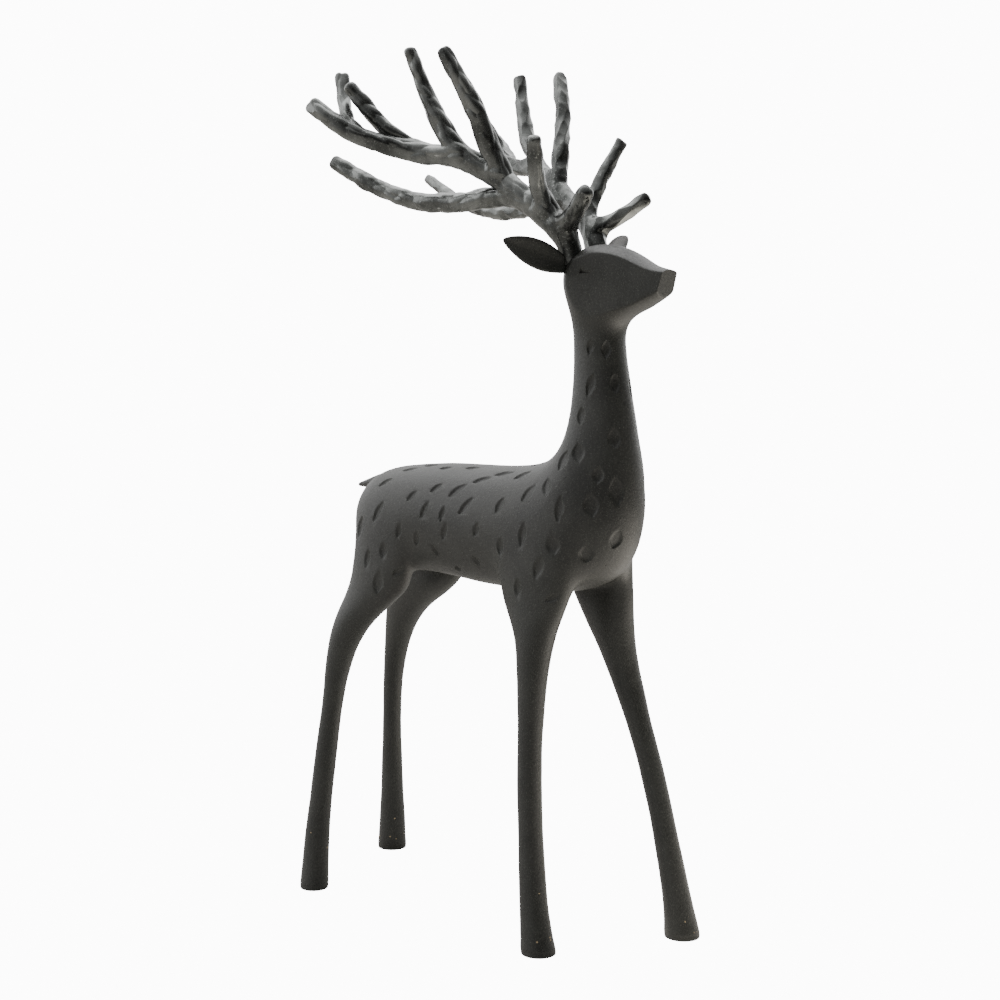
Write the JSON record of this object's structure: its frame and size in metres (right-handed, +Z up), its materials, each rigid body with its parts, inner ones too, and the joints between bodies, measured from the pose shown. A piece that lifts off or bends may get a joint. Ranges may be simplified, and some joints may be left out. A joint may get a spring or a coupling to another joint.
{
  "type": "stag statue",
  "caption": "Standing cast iron stag statue with a long neck, straight wide-set legs, a flat-sided head and branching antlers.",
  "frame": {"origin": "middle of the footprint box, at the soles of the feet", "axes": "+Z up, the stag faces -Y, +X is its left"},
  "size_m": [0.1624, 0.2778, 0.5127],
  "materials": {
    "dark_iron": "matte dark charcoal cast iron with a fine sand grain and small worn chips by the feet",
    "antler_iron": "darkened blue-grey cast iron with a satin sheen on its hammered facets"
  },
  "bodies": {
    "root": {"figure": "dark_iron", "antler_left": "antler_iron", "antler_right": "antler_iron"}
  },
  "joints": []
}
